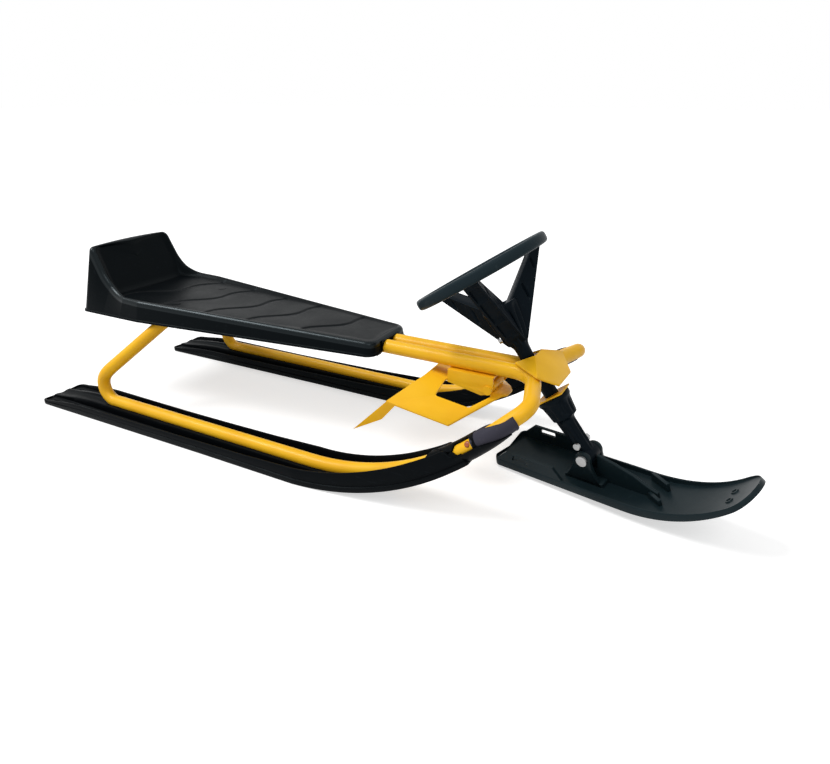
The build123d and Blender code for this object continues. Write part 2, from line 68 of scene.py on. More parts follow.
# Studio
# A pale floor under an even white surround, with a wide soft lamp from the front right above and
# a stronger one from behind. Floor and surround show white, and the floor keeps the sled's shadow.
class Number:
    """A number socket of a material. Its operators add the Math nodes."""

    def __init__(self, tree, socket):
        self.tree = tree
        self.socket = socket

    def worked(self, operation, *values):
        node = self.tree.nodes.new("ShaderNodeMath")
        node.operation = operation
        for place, value in zip(node.inputs, values):
            join(self.tree, place, value)
        return Number(self.tree, node.outputs[0])

    def __add__(self, other):
        return self.worked("ADD", self, other)

    def __mul__(self, other):
        return self.worked("MULTIPLY", self, other)

    def over(self, other):
        return self.worked("MAXIMUM", self, other)

    def above(self, low, high):
        """0 below low, 1 above high, smooth between."""
        node = self.tree.nodes.new("ShaderNodeMapRange")
        node.interpolation_type = "SMOOTHSTEP"
        for place, value in zip(node.inputs, (self, low, high)):
            join(self.tree, place, value)
        return Number(self.tree, node.outputs[0])

    __radd__ = __add__
    __rmul__ = __mul__


def join(tree, place, value):
    """Sets a socket to a value, or links it."""
    if isinstance(value, Number):
        tree.links.new(value.socket, place)
    else:
        place.default_value = value


class Finish:
    """A material: its surface shader, and one method that adds any other node."""

    def __init__(self, name, **levels):
        self.material = bpy.data.materials.new(name)
        self.material.use_nodes = True
        self.tree = self.material.node_tree
        self.surface = self.tree.nodes["Principled BSDF"]
        for level, value in levels.items():
            self.surface.inputs[level.replace("_", " ")].default_value = value

    def node(self, kind, settings=(), sockets=(), out=0):
        made = self.tree.nodes.new("ShaderNode" + kind)
        for name, value in dict(settings).items():
            setattr(made, name, value)
        for name, value in dict(sockets).items():
            join(self.tree, made.inputs[name], value)
        return Number(self.tree, made.outputs[out])

    def place(self, stretch=(1, 1, 1)):
        """The point on the piece, in its own metres, stretched along each axis."""
        spot = self.node("TexCoord", out="Object")
        return self.node("Mapping", sockets={"Vector": spot, "Scale": stretch})

    def speckle(self, size, detail=2.0, stretch=(1, 1, 1)):
        """Cloudy noise whose lumps are about this many metres across."""
        sockets = {"Vector": self.place(stretch), "Scale": 1 / size, "Detail": detail}
        return self.node("TexNoise", sockets=sockets)

    def between(self, share, first, second):
        """A colour between two colours. The mix node's colour sockets are 6 and 7, its colour out is 2."""
        return self.node("Mix", {"data_type": "RGBA"}, {0: share, 6: (*first, 1), 7: (*second, 1)}, out=2)

    def bumped(self, height, depth, strength=1.0):
        """Raises the surface by a height from 0 to 1, times a depth in metres."""
        sockets = {"Height": height, "Distance": depth, "Strength": strength}
        join(self.tree, self.surface.inputs["Normal"], self.node("Bump", sockets=sockets))

    def sets(self, name, value):
        join(self.tree, self.surface.inputs[name], value)


def seen_white(tree):
    """1 where the camera, a mirror or clear glass looks at it, else 0."""
    path = tree.nodes.new("ShaderNodeLightPath")
    seen, mirrored, through = (Number(tree, path.outputs["Is " + kind + " Ray"]) for kind in
                               ("Camera", "Glossy", "Transmission"))
    return seen.over(mirrored).over(through)


surround_light = 0.47
floor_glow = 0.58
world = bpy.data.worlds.new("surround")
bpy.context.scene.world = world
world.use_nodes = True
sky = world.node_tree.nodes["Background"]
sky.inputs["Color"].default_value = (1, 1, 1, 1)
seen = seen_white(world.node_tree)
join(world.node_tree, sky.inputs["Strength"], surround_light + (1 - surround_light) * seen)

floor_half = 30.0
floor_z = -0.1 * mm
floor_mesh = bpy.data.meshes.new("floor")
floor_mesh.from_pydata([(x * floor_half, y * floor_half, floor_z) for x, y in
                        ((-1, -1), (1, -1), (1, 1), (-1, 1))], [], [(0, 1, 2, 3)])
floor = bpy.data.objects.new("floor", floor_mesh)
bpy.context.scene.collection.objects.link(floor)
paper = Finish("white_floor", Base_Color=(0.68, 0.68, 0.68, 1), Roughness=0.9, Specular_IOR_Level=0.0,
               Emission_Color=(1, 1, 1, 1))
paper.sets("Emission Strength", seen_white(paper.tree) * floor_glow)
floor.data.materials.append(paper.material)

# Each lamp: its name, the way towards it, its strength, and how many degrees across it looks.
for name, towards, strength, spread in (
    ("key_lamp", (0.35, -0.55, 0.90), 0.55, 24.0),
    ("rim_lamp", (-0.52, -0.32, 0.79), 1.90, 22.0),
):
    lamp = bpy.data.objects.new(name, bpy.data.lights.new(name, "SUN"))
    bpy.context.scene.collection.objects.link(lamp)
    lamp.data.energy = strength
    lamp.data.angle = radians(spread)
    lamp.rotation_mode = "QUATERNION"
    lamp.rotation_quaternion = Vector(towards).to_track_quat("Z", "Y")


# Frame tubes
# Two bent steel tubes, one a side, run from under the seat along the middle, out over the head,
# down to the runners and back up to the seat. They are welded up, then powder coated yellow.
def powder_coat():
    """Yellow powder coat: a fine orange peel, slightly uneven gloss, deeper yellow in places."""
    coat = Finish("yellow_powder_coat", Specular_IOR_Level=0.22, Coat_Weight=0.06, Coat_Roughness=0.12)
    cloud = coat.speckle(60 * mm, 3)
    peel = coat.speckle(1.6 * mm, 2)
    bright, deep = (0.90, 0.50, 0.013), (0.86, 0.45, 0.010)
    coat.sets("Base Color", coat.between(cloud.above(0.35, 0.65), bright, deep))
    coat.sets("Roughness", 0.34 + 0.14 * cloud + 0.06 * peel)
    coat.bumped(peel, 0.05 * mm, 0.6)
    return coat.material


yellow = powder_coat()


def dressed(node, material):
    """A CAD node whose shape is right gets its finish."""
    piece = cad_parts[node]
    piece.data.materials.clear()
    piece.data.materials.append(material)
    return piece


for side in ("left", "right"):
    for tube in ("spine_tube_", "side_tube_"):
        dressed(tube + side, yellow)


# Bent sheets on the frame
# The hood in front of the column, the head's lower plate, the channel that hangs the brake and
# the two plates under the seat are pressed from 2.5 mm steel and welded to the tubes, then coated.
def softened(node, body, material, edge):
    """A copy of a CAD node whose sharp edges are rounded as a press leaves them."""
    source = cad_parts[node]
    mesh = source.data.copy()
    shape = bmesh.new()
    shape.from_mesh(mesh)
    bmesh.ops.remove_doubles(shape, verts=shape.verts, dist=0.01 * mm)
    bmesh.ops.dissolve_limit(shape, angle_limit=radians(0.5), verts=shape.verts, edges=shape.edges)
    shape.to_mesh(mesh)
    shape.free()
    mesh.materials.clear()
    mesh.materials.append(material)
    mesh.shade_smooth()
    piece = bpy.data.objects.new(node + "_finished", mesh)
    bpy.context.scene.collection.objects.link(piece)
    bevel = piece.modifiers.new("rounded_edges", "BEVEL")
    bevel.width = edge
    bevel.segments = 3
    bevel.limit_method = "ANGLE"
    bevel.angle_limit = radians(32)
    bevel.harden_normals = True
    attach(piece, body)
    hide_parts(node)
    return piece


sheet_edge = 0.7 * mm
for node in ("head_hood", "head_plate", "brake_hanger", "seat_cross_rear", "seat_cross_front"):
    softened(node, "frame", yellow, sheet_edge)
softened("brake", "brake", yellow, sheet_edge)


# Runners
# Two shallow channels of black polyethylene, moulded in one piece. The side tube lies in a bed
# along the middle, and past the front curve the runner narrows and closes round the tube.
def unit(vectors):
    """Vectors brought to length 1, along the last axis."""
    return vectors / np.linalg.norm(vectors, axis=-1, keepdims=True)


def smooth(share):
    """0 below 0, 1 above 1, and 3 s^2 - 2 s^3 between."""
    share = np.clip(share, 0, 1)
    return share * share * (3 - 2 * share)


def gridded(grid, ring_rows=False, ring_columns=False, ends=False):
    """Points and faces of a grid of points. A ring's last line joins its first, and ends closes the
    first and last rows with a fan to their middle."""
    rows, columns = grid.shape[:2]
    i, j = np.meshgrid(
        np.arange(rows if ring_rows else rows - 1), np.arange(columns if ring_columns else columns - 1),
        indexing="ij",
    )
    i, j = i.ravel(), j.ravel()
    down, across = (i + 1) % rows, (j + 1) % columns
    corners = [i * columns + j, down * columns + j, down * columns + across, i * columns + across]
    faces = np.stack(corners, 1).tolist()
    points = grid.reshape(-1, 3)
    if ends:
        here = np.arange(columns)
        beside = (here + 1) % columns
        last = (rows - 1) * columns
        middles = np.stack([grid[0].mean(0), grid[-1].mean(0)])
        first_fan = np.stack([np.full(columns, len(points)), here, beside], 1)
        last_fan = np.stack([np.full(columns, len(points) + 1), last + beside, last + here], 1)
        faces += first_fan.tolist() + last_fan.tolist()
        points = np.vstack([points, middles])
    return points, faces


def capped(rings):
    """Points and faces of a solid: rings of points one after another, closed at both ends."""
    return gridded(rings, ring_columns=True, ends=True)


def outwards(points, faces):
    """The faces, all turned round if most of them look towards the middle of the shape."""
    middle = points.mean(0)
    corner = np.array([face[:3] for face in faces])
    a, b, c = (points[corner[:, k]] for k in range(3))
    looks = np.einsum("ij,ij->i", np.cross(b - a, c - a), (a + b + c) / 3 - middle).sum()
    return faces if looks > 0 else [face[::-1] for face in faces]


def piece_of(name, parts, material, body, stands_for=(), crease=38.0, wall=None):
    """One mesh object from several parts in millimetres, riding on a body. wall thickens it inwards."""
    points, faces = [], []
    for part_points, part_faces in parts:
        base = sum(len(p) for p in points)
        faces += [[base + k for k in face] for face in outwards(part_points, part_faces)]
        points.append(part_points)
    mesh = bpy.data.meshes.new(name)
    mesh.from_pydata((np.vstack(points) * mm).tolist(), [], faces)
    shape = bmesh.new()
    shape.from_mesh(mesh)
    bmesh.ops.remove_doubles(shape, verts=shape.verts, dist=0.002 * mm)
    bmesh.ops.dissolve_degenerate(shape, edges=shape.edges, dist=0.002 * mm)
    shape.to_mesh(mesh)
    shape.free()
    mesh.shade_smooth()
    mesh.set_sharp_from_angle(angle=radians(crease))
    mesh.materials.append(material)
    piece = bpy.data.objects.new(name, mesh)
    bpy.context.scene.collection.objects.link(piece)
    if wall:
        thick = piece.modifiers.new("wall", "SOLIDIFY")
        thick.thickness = wall * mm
        thick.offset = -1
    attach(piece, body)
    if stands_for:
        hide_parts(*stands_for)
    return piece


def moulded_black(name, colour, paler, rough, grain, scuffed=(1, 1, 1), gloss=0.05):
    """Black moulded plastic: fine grain, faint pale scuffs along one way, uneven satin gloss."""
    plastic = Finish(name, Specular_IOR_Level=gloss, Specular_Tint=(0.78, 0.94, 1.0, 1))
    cloud = plastic.speckle(45 * mm, 3)
    scuffs = plastic.speckle(9 * mm, 5, scuffed)
    fine = plastic.speckle(grain, 2)
    scuff_share = scuffs.above(0.60, 0.78) * 0.7
    plastic.sets("Base Color", plastic.between(scuff_share, colour, paler))
    plastic.sets("Roughness", rough + 0.16 * cloud + 0.10 * scuffs)
    plastic.bumped(fine * 0.7 + scuffs * 0.6, 0.08 * mm, 0.7)
    return plastic.material


polyethylene = moulded_black(
    "black_polyethylene", (0.0014, 0.0018, 0.0025), (0.009, 0.011, 0.014), 0.31, 1.1 * mm, (0.25, 3, 3)
)
track_y = 160.0
nose_in = 3.0
tail_x, nose_end = -596.7, 262.0
sole_r = 424.0
tube_h = 24.0
nose_lift = 6.0
nose_angle = radians(38.6)
bed_r = 11.3
rim_h, floor_h, rim_t = 20.0, 5.2, 5.2

# The rim from its foot outside, over its top, to its foot inside: (out from the half width, height).
# Its point rim_inside is the first on its inner side.
rim_section = [
    (-3.5, 0), (-1.0, 0.7), (0, 3), (0, 9.5), (-1.4, 10.6), (-1.4, 12.6), (0, 13.7), (0, 17.4), (-0.8, 19.3),
    (-2.4, rim_h), (-4.0, 19.4), (-4.8, 17.8), (-5.6, 7), (-8.4, floor_h),
]
rim_inside = 12
# The bank beside the tube's groove, from the floor up: (out from the middle, height).
bank_section = [(18.6, floor_h), (17.2, 6.6), (16.6, 18.4), (15.8, 19.6), (14.4, rim_h)]
# The rim's top along the runner: (along, height).
rim_tops = [
    (tail_x, 8.6), (tail_x + 24, 11), (-530, 17), (-490, 20), (-300, 20.5), (-100, 24), (0, 28), (70, 32),
    (140, 35.5), (200, 37.4), (nose_end, 37.4), (nose_end + 8, 24),
]


def runner_point(along, height):
    """Side view: flat back to the tail, and past the front curve's start an arc of sole_r less the
    height. The under side lifts towards the nose."""
    angle = np.maximum(along, 0) / sole_r
    lift = nose_lift * (angle / nose_angle) ** 2 * np.clip(1 - height / rim_h, 0, 1)
    r = sole_r - height - lift
    x = np.where(along < 0, along, r * np.sin(angle))
    z = np.where(along < 0, height, sole_r - r * np.cos(angle))
    return x, z


def runner_channel(side):
    """The channel's section carried along: rims, a floor, and the bed with the tube's groove. The rims
    grow from the flat tail until they stand round the tube, and drop again beside the nose's slot."""
    along = np.concatenate([
        tail_x + np.array([0, 1.2, 3.5, 7, 12]), np.linspace(tail_x + 18, -30, 60),
        np.linspace(-24, sole_r * nose_angle, 72),
    ])
    half = np.interp(along, [tail_x, -200, -10, nose_end], [43, 39, 39, 16.8])
    tail_round = 6 * (1 - np.clip((along - tail_x) / 9, 0, 1)) ** 2
    half -= tail_round
    middle = np.interp(along, [-10, nose_end], [track_y, track_y - nose_in])
    rim_top = np.interp(along, *zip(*rim_tops))
    closing = smooth((along - 95) / 90)
    rim, bank = np.array(rim_section), np.array(bank_section)
    arc = np.radians(np.linspace(-20, -90, 8))
    groove = np.stack([bed_r * np.cos(arc), tube_h + bed_r * np.sin(arc)], 1)
    n = len(along)
    across = np.concatenate([
        half[:, None] + rim[:, 0], np.broadcast_to(bank[:, 0], (n, len(bank))),
        np.broadcast_to(groove[:, 0], (n, len(groove))),
    ], 1)
    high = np.concatenate([rim[:, 1], bank[:, 1], groove[:, 1]])
    lowered = np.minimum((rim_top[:, None] - floor_h) / (rim_h - floor_h), 1)
    grown = np.maximum(rim_top - rim_h, 0)[:, None] * (np.arange(len(high)) < rim_inside) * (high > 14)
    high = np.where(high > floor_h, floor_h + (high - floor_h) * lowered, high) + grown
    wall_in = np.maximum(half[:, None] - rim_t, bed_r + 0.15)
    top_in = slice(rim_inside - 2, rim_inside)
    across[:, top_in] = np.maximum(across[:, top_in], wall_in + np.array([0.4, 0.1]))
    inner = slice(rim_inside, len(rim) + len(bank))
    high[:, inner] += (rim_h - high[:, inner]) * closing[:, None]
    shut = wall_in - (wall_in - bed_r) * np.linspace(0, 1, inner.stop - inner.start)
    across[:, inner] += (shut - across[:, inner]) * closing[:, None]
    across[:, inner] = np.minimum(across[:, inner], wall_in)
    left = np.stack([across, high], -1)
    right = left[:, ::-1] * np.array([-1, 1])
    loop = np.concatenate([left, right[:, 1:]], 1)
    x, z = runner_point(along[:, None], loop[..., 1])
    y = side * (middle[:, None] + loop[..., 0])
    return capped(np.stack([x, y, z], -1))


rib_offsets = (-27, 27, -9, 9)
rib_start, rib_length = tail_x + 12.0, 74.0
rib_half, rib_rise, rib_foot = 1.8, 3.0, 4.6


def tail_rib(y):
    """A low rounded rib along the tail's floor: half a sine across, rounded off at both ends."""
    t = np.linspace(0, 1, 14)[:, None]
    v = np.linspace(0, pi, 9)
    rise = rib_rise * np.sqrt(np.clip(1 - (2 * t - 1) ** 8, 0, 1))
    across = y + rib_half * np.cos(v)
    high = rib_foot + rise * np.sin(v)
    return capped(np.stack(np.broadcast_arrays(rib_start + rib_length * t, across, high), -1))


def rounded_path(points, radii, step):
    """Points along a path of straight runs joined by arcs, about a step apart."""
    points = np.array(points, float)
    spots = [points[:1]]
    here = points[0]
    for k, radius in enumerate(radii, 1):
        into, out = unit(points[k] - points[k - 1]), unit(points[k + 1] - points[k])
        turned = acos(float(np.clip(into @ out, -1, 1)))
        reach = radius * tan(turned / 2)
        start = points[k] - into * reach
        centre = points[k] + unit(out - into) * radius / cos(turned / 2)
        away = unit(start - centre)
        run = np.linspace(0, 1, max(int(np.linalg.norm(start - here) / step), 1) + 1)[1:, None]
        spots.append(here + run * (start - here))
        angle = np.linspace(0, turned, max(int(radius * turned / step), 4) + 1)[1:, None]
        spots.append(centre + radius * (np.cos(angle) * away + np.sin(angle) * into))
        here = spots[-1][-1]
    run = np.linspace(0, 1, max(int(np.linalg.norm(points[-1] - here) / step), 1) + 1)[1:, None]
    spots.append(here + run * (points[-1] - here))
    return np.concatenate(spots)


def square_to(path):
    """Two cross directions at each point of a path: one near the sled's left, the other upward."""
    ahead = unit(np.gradient(path, axis=0))
    near_left = (0.02, 1.0, 0.03)
    left = unit(np.cross(np.cross(ahead, near_left), ahead))
    return left, np.cross(ahead, left)


def split_tube(path, inner, outer, gap_middle, gap_half, count=44):
    """A tube round a path with a lengthwise gap: at each point an outer arc from the gap's one edge
    round to the other, and an inner arc back. Gaps are in degrees, counted up from the sled's left."""
    left, up = square_to(path)
    n = len(path)
    inner, outer, gap_middle, gap_half = (
        np.broadcast_to(values, n)[:, None] for values in (inner, outer, gap_middle, gap_half))
    share = np.linspace(0, 1, count)
    angle = np.radians(gap_middle + gap_half + (360 - 2 * gap_half) * share)
    angle = np.concatenate([angle, angle[:, ::-1]], 1)
    r = np.concatenate([np.repeat(outer, count, 1), np.repeat(inner, count, 1)], 1)
    ring = left[:, None] * np.cos(angle)[..., None] + up[:, None] * np.sin(angle)[..., None]
    return capped(path[:, None] + ring * r[..., None])


tube_arc_r = 400.0
front_turn = radians(41.6)
toe_corner, toe_r = (282.0, 157.0, 139.5), 40.0
shoulder_corner = (322.0, 120.0, 172.0)
wrap_x, rivet_slot_x, tongue_x = (192, 271), (240, 264), (240, 298)


def nose_path(side, step=2.0):
    """The side tube's middle line from partway up the front curve, round the toe, to the shoulder."""
    angle = np.linspace(radians(26), front_turn, 56)[:-1]
    x, z = tube_arc_r * np.sin(angle), tube_h + tube_arc_r * (1 - np.cos(angle))
    curve = np.stack([x, side * (track_y - nose_in * x / toe_corner[0]), z], 1)
    last = (
        tube_arc_r * sin(front_turn), side * (track_y - nose_in), tube_h + tube_arc_r * (1 - cos(front_turn)),
    )
    mirrored = np.array([1, side, 1])
    ends = rounded_path([last, toe_corner * mirrored, shoulder_corner * mirrored], [toe_r], step)
    return np.concatenate([curve, ends])


def nose_wrap(side):
    """The runner's nose closed round the tube: open above at first, then whole, then with a slot in
    its outer side where a rivet holds the tube. Its under side runs on below the sleeve as a tongue."""
    path = nose_path(side)
    wrap, tongue = (path[(path[:, 0] > first) & (path[:, 0] < last)] for first, last in (wrap_x, tongue_x))
    x = wrap[:, 0]
    gap_middle = 90 - side * 60 * smooth((x - 216) / 20)
    open_above = 88 * (1 - smooth((x - wrap_x[0]) / 20))
    rivet_slot = 40 * smooth((x - rivet_slot_x[0]) / 6) * (1 - smooth((x - rivet_slot_x[1]) / 5))
    share = np.linspace(0, 1, len(tongue))
    tongue_outer = 17.4 - 2.2 * share ** 3
    tongue_gap = 96 + 52 * smooth((share - 0.45) / 0.55)
    return [split_tube(wrap, 11.2, 14.6, gap_middle, open_above + rivet_slot),
            split_tube(tongue, 14.2, tongue_outer, 90, tongue_gap)]


both_sides = ((1, "left"), (-1, "right"))
for side, name in both_sides:
    runner_parts = [runner_channel(side)] + nose_wrap(side)
    runner_parts += [tail_rib(side * track_y + offset) for offset in rib_offsets]
    piece_of("runner_" + name + "_finished", runner_parts, polyethylene, "frame",
             ["runner_" + name])


# Seat
# One hollow shell of black plastic, blown or moulded in one: a dished top in padded-looking panels,
# a backrest, and side walls that end in a small lip. Screws hold it to two plates on the tubes.
corner_points = 9
edge_counts = [210, 16, 20, 38, 70, 38, 20, 16, 210, 44]


def rounded_ring(half_outline, radii):
    """The closed ring of a half outline and its mirror, whose corners are arcs. Every edge and arc has
    its own fixed count of points, so that two rings match point for point."""
    corners = np.array(half_outline + [(x, -y) for x, y in reversed(half_outline)], float)
    radii = radii + radii[::-1]
    before, after = np.roll(corners, 1, 0), np.roll(corners, -1, 0)
    into, out = unit(corners - before), unit(after - corners)
    turns = np.arccos(np.clip((into * out).sum(1), -1, 1))
    reach = np.array(radii) * np.tan(turns / 2)
    starts, ends = corners - into * reach[:, None], corners + out * reach[:, None]
    ring = []
    for k, count in enumerate(edge_counts):
        share = np.linspace(0, 1, corner_points)[:, None]
        weight_start, weight_end = (1 - share) ** 2, share ** 2
        bow = 2 * share * (1 - share) * cos(turns[k] / 2)
        total = weight_start + weight_end + bow
        ring.append((weight_start * starts[k] + bow * corners[k] + weight_end * ends[k]) / total)
        along = np.linspace(0, 1, count + 2)[1:-1, None]
        ring.append(ends[k] + along * (starts[(k + 1) % len(corners)] - ends[k]))
    return np.concatenate(ring)


heel = np.array([-489.0, 204.5])
to_nose = unit(np.array([47.0, 187.0]) - heel)
to_top = unit(np.array([-529.0, 284.0]) - heel)
seat_turn = acos(float(-to_nose @ to_top))
seat_up = np.array([-to_nose[1], to_nose[0]])
seat_base_z = 165.0
nose_a, top_a = -536.3, 89.0

# The top's half outline, from the nose up the back: (along the seat's line, half width).
top_half = [(nose_a, 53.1), (-79, 105), (-40, 104), (5, 94.5), (top_a, 90.5)]
# The half outline of the walls' foot, from the nose to the tail: (forward, half width).
foot_half = [(47, 57), (-410, 111), (-455, 111.4), (-500, 111.8), (-557, 112)]
# How deep the top is dished: (along the seat's line, depth).
dishes = [
    (nose_a, 0.8), (-480, 1.1), (-400, 1.5), (-300, 4), (-200, 6), (-60, 7.5), (0, 6), (60, 5), (top_a, 3.5),
]
edge_r = 8.5
crown_rise = 3.5
groove_places = (-428, -331, -236, -148, -42)
groove_deep, groove_half, groove_wave = 1.5, 2.4, 95.0
panel_step, panel_fade = 1.1, 34.0


def seat_line(along, bend, depth):
    """Side view of the seat: straight to the nose below 0, straight up the back above 0, and an arc
    of this bend radius between. Depth is measured into the seat, square to the line."""
    reach = bend * tan(seat_turn / 2)
    angle = np.clip((along + reach) / (2 * reach), 0, 1) * seat_turn
    normal = seat_up * np.cos(angle)[..., None] + to_nose * np.sin(angle)[..., None]
    centre = heel + to_nose * reach[..., None] + seat_up * bend[..., None]
    past = np.where(along < -reach, -along - reach, 0)[..., None] * to_nose
    past = past + np.where(along > reach, along - reach, 0)[..., None] * to_top
    return centre - normal * (bend + depth)[..., None] + past


def seat_depth(a, y, w):
    """Depth into the seat where w is the way in from the rim: a rolled edge, the dish, and wavy grooves,
    each with a small step down in front of it that fades out towards the nose."""
    rolled = edge_r - np.sqrt(np.clip(edge_r ** 2 - (edge_r - np.minimum(w, edge_r)) ** 2, 0, None))
    dish = np.interp(a, *zip(*dishes))
    depth = rolled + dish * (smooth((w - 6) / 13) + 0.2 * smooth((w - 15) / 60))
    inside = smooth((w - 9) / 8)
    lean = 0.55 * (y - groove_wave / (2 * pi) * np.sin(2 * pi * (y - 27) / groove_wave)) - 8.1
    for groove_x in groove_places:
        off = heel[0] - a - groove_x - lean
        depth += inside * groove_deep * np.exp(-(off / groove_half) ** 2)
        depth += inside * panel_step * smooth(off / 3) * np.exp(-np.maximum(off, 0) / panel_fade)
    return depth


def seat_top():
    """Rows from the rim in to the middle: each is the rim's ring drawn towards a line along the seat."""
    ring = rounded_ring(top_half, [16, 20, 6, 20, 11])
    crown = crown_rise * (1 - (ring[:, 1] / 92) ** 2) * smooth((ring[:, 0] - top_a + 9) / 9)
    ring = ring + np.stack([crown, 0 * crown], 1)
    spine = np.stack([np.clip(ring[:, 0], nose_a + 46, top_a - 34), np.zeros(len(ring))], 1)
    length = np.linalg.norm(ring - spine, axis=1)
    inset = np.array([0, 0.25, 0.9, 1.9, 3.2, 4.6, 6, 7.5, 9, 10.5, 12, 14, 16.5, 19])
    near = 1 - inset[:, None] / length
    far = near[-1:] * np.linspace(1, 0, 36)[1:, None]
    share = np.concatenate([near, far])
    flat = spine + share[..., None] * (ring - spine)
    a, y = flat[..., 0], flat[..., 1]
    w = (1 - share) * length
    bend = 12 + 63 * smooth(1 - (w - 7) / 16)
    line = seat_line(a, bend, seat_depth(a, y, w))
    return np.stack([line[..., 0], y, line[..., 1]], -1)


tube_mouth_half, tube_mouth_top = 27.5, 184.0
# How far down the wall its plain rows lie, and its lip's rows: (height above the foot, out).
wall_shares = (0.06, 0.2, 0.36, 0.52, 0.68, 0.82, 0.94)
lip_rows = ((4.6, 0.0), (4.2, 0.9), (3.6, 1.7), (1.2, 1.9), (0.3, 1.5), (0.0, 0.6))


def seat_walls(rim):
    """Rows from the rim down to the foot, which turns out in a lip and arches over the frame's tubes."""
    low = rounded_ring(foot_half, [16, 20, 6, 20, 16])
    mouth = (np.abs(low[:, 1]) < tube_mouth_half) & (low[:, 0] > 30)
    low_z = np.where(mouth, tube_mouth_top, seat_base_z)
    tangent = unit(np.roll(low, -1, 0) - np.roll(low, 1, 0))
    outward = np.stack([tangent[:, 1], -tangent[:, 0]], 1)
    outward *= np.sign((outward * low).sum(1).mean())
    foot = np.concatenate([low, low_z[:, None]], 1)
    lip = np.where(mouth, 0, 1)[:, None] * np.concatenate([outward, 0 * outward[:, :1]], 1)
    slope = (rim - foot) / np.maximum(rim - foot, 1)[:, 2:]
    rows = [rim + (foot - rim) * share for share in wall_shares]
    for rise, out in lip_rows:
        lift = np.where(mouth, 0.3 * rise, rise)
        rows.append(foot + slope * lift[:, None] + lip * out)
    return np.stack(rows)


seat_plastic = moulded_black(
    "black_seat_plastic", (0.0016, 0.0026, 0.0034), (0.006, 0.008, 0.010), 0.24, 0.8 * mm
)
# A glossier, slightly paler copy of the seat plastic that paints the rim's highlight.
rim_painted_highlight = moulded_black(
    "seat_rim_painted_highlight", (0.0020, 0.0032, 0.0042), (0.007, 0.010, 0.012), 0.14, 0.8 * mm, gloss=0.20
)
seat_t = 2.8
top = seat_top()
walls = seat_walls(top[0])
shell = gridded(np.concatenate([walls[::-1], top]), ring_columns=True)
seat = piece_of("seat_shell", [shell], seat_plastic, "frame", ["seat"], 50, seat_t)
seat.data.materials.append(rim_painted_highlight)
# The rows of faces from the wall's top in over the rolled edge have a glossier and slightly paler skin, a
# painted highlight along the rim.
highlight_rows = 8
highlight_start = (len(walls) - 1) * top.shape[1]
for face in seat.data.polygons[highlight_start:highlight_start + highlight_rows * top.shape[1]]:
    face.material_index = 1


def crossing(axis):
    """Two directions square to an axis and to each other."""
    across = unit(np.cross(axis, (0.31, 0.17, 0.93)))
    return across, np.cross(axis, across)


def bolt(centre, axis, radius, thick, washer):
    """A hexagon bolt's head on a washer 1 mm thick: rings of (height, radius) that stand on centre."""
    axis = unit(np.array(axis, float))
    across, third = crossing(axis)
    angle = np.linspace(0, 2 * pi, 24, endpoint=False)
    hexagon = cos(pi / 6) / np.cos(angle % (pi / 3) - pi / 6)
    rings = [(height, r * np.ones(len(angle))) for height, r in ((0, washer), (1, washer), (1, 0.9 * radius))]
    rings += [(1 + thick * height, radius * r * hexagon) for height, r in
              ((0, 1.0), (0.75, 1.0), (0.93, 0.93), (1, 0.8))]
    around = np.cos(angle)[:, None] * across + np.sin(angle)[:, None] * third
    return capped(np.stack([np.array(centre) + axis * height + r[:, None] * around for height, r in rings]))


def post(low, high, centre, radius):
    """An upright round post."""
    angle = np.linspace(0, 2 * pi, 20, endpoint=False)
    x, y = centre[0] + radius * np.cos(angle), centre[1] + radius * np.sin(angle)
    return capped(np.stack([np.stack([x, y, 0 * angle + z], -1) for z in (low, high)]))


rear_screw_x, front_screw_x = -363, -70
rear_screws_y = (-58, 58)
screw_z = 183.2
posts = [post(186.4, 193.0, (rear_screw_x, y), 8) for y in rear_screws_y]
piece_of("seat_posts", posts, seat_plastic, "frame")


def galvanised():
    """Bright zinc plating: pale grey metal with a cloudy gloss and fine scratches."""
    zinc = Finish("zinc_plate", Metallic=1.0)
    cloud = zinc.speckle(6 * mm, 3)
    fine = zinc.speckle(0.5 * mm, 2, (1, 1, 6))
    zinc.sets("Base Color", zinc.between(cloud, (0.34, 0.35, 0.36), (0.50, 0.50, 0.49)))
    zinc.sets("Roughness", 0.24 + 0.18 * cloud + 0.10 * fine)
    zinc.bumped(fine, 0.02 * mm, 0.5)
    return zinc.material


zinc = galvanised()
heads = [bolt((rear_screw_x, y, screw_z), (0, 0, -1), 5.5, 4, washer=8) for y in rear_screws_y]
heads.append(bolt((front_screw_x, 0, screw_z), (0, 0, -1), 4.5, 3.4, washer=6.5))
piece_of("seat_screws", heads, zinc, "frame")


# Nose sleeves
# A grey plastic sleeve on each side clips round the butt joint of the two tubes above the runner's
# nose. Its upper side opens towards the shoulder, and a rivet holds the tube and the runner below it.
grey_plastic = moulded_black(
    "grey_sleeve_plastic", (0.045, 0.043, 0.058), (0.075, 0.072, 0.09), 0.36, 0.9 * mm
)
sleeve_before, sleeve_past = 25, 38
sleeve_inner, sleeve_outer = 11.05, 12.9


def nose_sleeve(side):
    """A tube round the frame's tube, with a low band at each end and a gap that widens up along it."""
    path = nose_path(side, 1.6)
    from_toe = np.linalg.norm(path - np.array(toe_corner) * (1, side, 1), axis=1)
    before = np.arange(len(path)) < from_toe.argmin()
    along = path[np.where(before, from_toe < sleeve_before, from_toe < sleeve_past)]
    walked = np.concatenate([[0], np.cumsum(np.linalg.norm(np.diff(along, axis=0), axis=1))])
    from_end = np.minimum(walked, walked[-1] - walked)
    rounded_end = 0.9 * smooth(from_end / 1.5)
    band = 0.7 * (1 - smooth(np.abs(from_end - 3.4) / 1.6))
    gap = 4 + 60 * smooth((walked / walked[-1] - 0.12) / 0.7)
    return split_tube(along, sleeve_inner, sleeve_outer + rounded_end + band, 90, gap)


